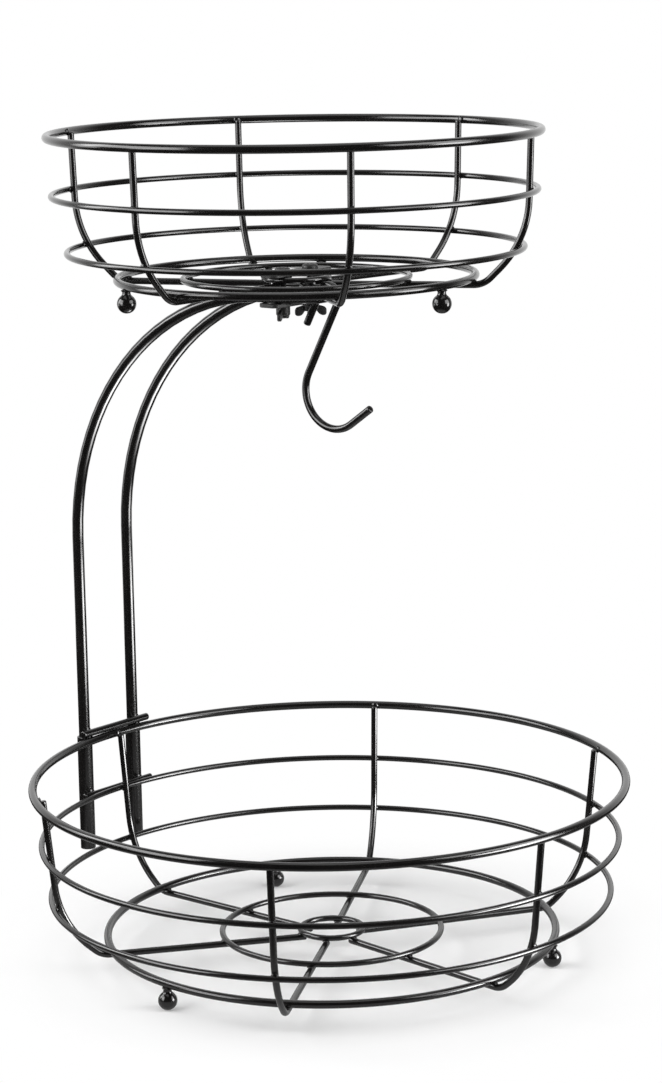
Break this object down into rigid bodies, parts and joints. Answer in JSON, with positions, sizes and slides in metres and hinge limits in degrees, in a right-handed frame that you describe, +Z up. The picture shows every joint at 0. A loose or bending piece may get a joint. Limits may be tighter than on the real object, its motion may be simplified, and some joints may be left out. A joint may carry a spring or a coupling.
{
  "type": "tiered wire basket",
  "caption": "Two-tier basket of glossy black welded wire: a wide lower bowl carries an arched rod stand with a smaller bowl on top and a hook below it.",
  "frame": {"origin": "on the lower basket's axis, in the plane of its feet", "axes": "+Z up, +Y to the back where the stand rises, +X to the right as seen from the open front"},
  "size_m": [0.3042, 0.3112, 0.4193],
  "materials": {
    "wire_paint": "gloss black",
    "fixing_paint": "satin black"
  },
  "bodies": {
    "lower_basket": {"lower_rim": "wire_paint", "lower_high_hoop": "wire_paint", "lower_low_hoop": "wire_paint", "lower_base_ring": "wire_paint", "lower_floor_ring": "wire_paint", "lower_centre_ring": "wire_paint", "lower_rib_1": "wire_paint", "lower_rib_2": "wire_paint", "lower_rib_3": "wire_paint", "lower_rib_4": "wire_paint", "lower_rib_5": "wire_paint", "lower_rib_6": "wire_paint", "lower_foot_1": "wire_paint", "lower_foot_2": "wire_paint", "lower_foot_3": "wire_paint", "socket_left": "wire_paint", "socket_right": "wire_paint", "socket_brace": "wire_paint"},
    "stand": {"stand_hoop": "wire_paint", "stop_bar": "wire_paint", "stand_plate": "fixing_paint", "upper_rim": "wire_paint", "upper_high_hoop": "wire_paint", "upper_low_hoop": "wire_paint", "upper_base_ring": "wire_paint", "upper_floor_ring": "wire_paint", "upper_centre_ring": "wire_paint", "upper_rib_1": "wire_paint", "upper_rib_2": "wire_paint", "upper_rib_3": "wire_paint", "upper_rib_4": "wire_paint", "upper_rib_5": "wire_paint", "upper_rib_6": "wire_paint", "upper_foot_1": "wire_paint", "upper_foot_2": "wire_paint", "upper_foot_3": "wire_paint", "clamp_strap": "fixing_paint", "clamp_screw_left": "fixing_paint", "clamp_screw_right": "fixing_paint"},
    "hook": {"hanging_hook": "wire_paint"},
    "left_nut": {"wing_nut_left": "fixing_paint"},
    "right_nut": {"wing_nut_right": "fixing_paint"}
  },
  "joints": [
    {"name": "stand_lift", "type": "slide", "parent": "lower_basket", "child": "stand", "axis": [0, 0, 1], "range_m": [0, 0.07]},
    {"name": "hook_swing", "type": "hinge", "parent": "stand", "child": "hook", "pos_m": [0, -0.0055, 0.3381], "axis": [1, 0, 0], "range_deg": [-50, 11]},
    {"name": "left_nut_turn", "type": "hinge", "parent": "stand", "child": "left_nut", "pos_m": [-0.0105, 0.0156, 0.33295], "axis": [0, 0, -1], "range_deg": [0, 360]},
    {"name": "right_nut_turn", "type": "hinge", "parent": "stand", "child": "right_nut", "pos_m": [0.0105, 0.0156, 0.33295], "axis": [0, 0, -1], "range_deg": [0, 360]}
  ]
}
